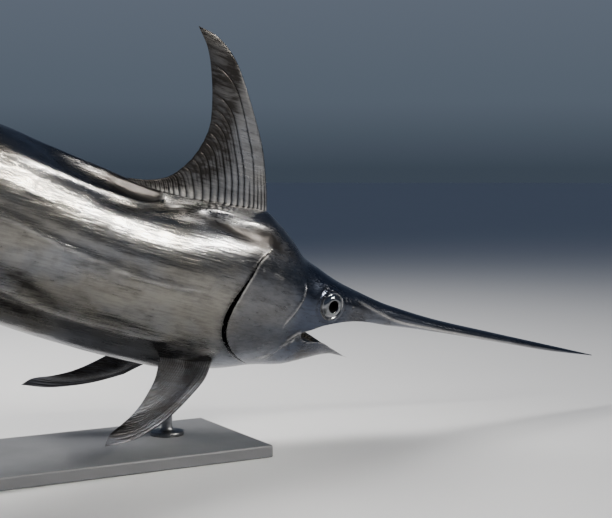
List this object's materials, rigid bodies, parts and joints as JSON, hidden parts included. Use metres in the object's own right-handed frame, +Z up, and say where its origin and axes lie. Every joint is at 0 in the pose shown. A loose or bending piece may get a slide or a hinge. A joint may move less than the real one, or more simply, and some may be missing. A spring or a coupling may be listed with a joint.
{
  "type": "swordfish sculpture",
  "caption": "Life-size sculpture of a swordfish in polished hammered metal, diving and banked with its mouth open, held by short rods on a flat base.",
  "frame": {"origin": "centre of the underside of the stand's base", "axes": "+Z up, +X the way the fish faces, seen from above, and +Y to the fish's left"},
  "size_m": [2.9411, 0.57, 1.2278],
  "materials": {
    "body_metal": "polished and brushed sheet metal with hammer marks and dark patina",
    "fin_metal": "ribbed sheet metal, polished ribs with darkened grooves",
    "eye_metal": "mirror-polished dome with a dark round pupil",
    "stand_rod_metal": "brushed round bar",
    "stand_base_paint": "satin dark grey paint"
  },
  "bodies": {
    "root": {"bill": "body_metal", "head": "body_metal", "lower_jaw": "body_metal", "gill_cover_left": "body_metal", "gill_cover_right": "body_metal", "torso": "body_metal", "tail_stalk": "body_metal", "keel_left": "body_metal", "keel_right": "body_metal", "first_dorsal_fin": "fin_metal", "pectoral_fin_left": "fin_metal", "pectoral_fin_right": "fin_metal", "first_anal_fin": "fin_metal", "second_dorsal_fin": "fin_metal", "second_anal_fin": "fin_metal", "tail_fin_upper": "fin_metal", "tail_fin_lower": "fin_metal", "eye_left": "eye_metal", "eye_right": "eye_metal", "stand_rod_front": "stand_rod_metal", "stand_rod_rear": "stand_rod_metal", "stand_base": "stand_base_paint"}
  },
  "joints": []
}
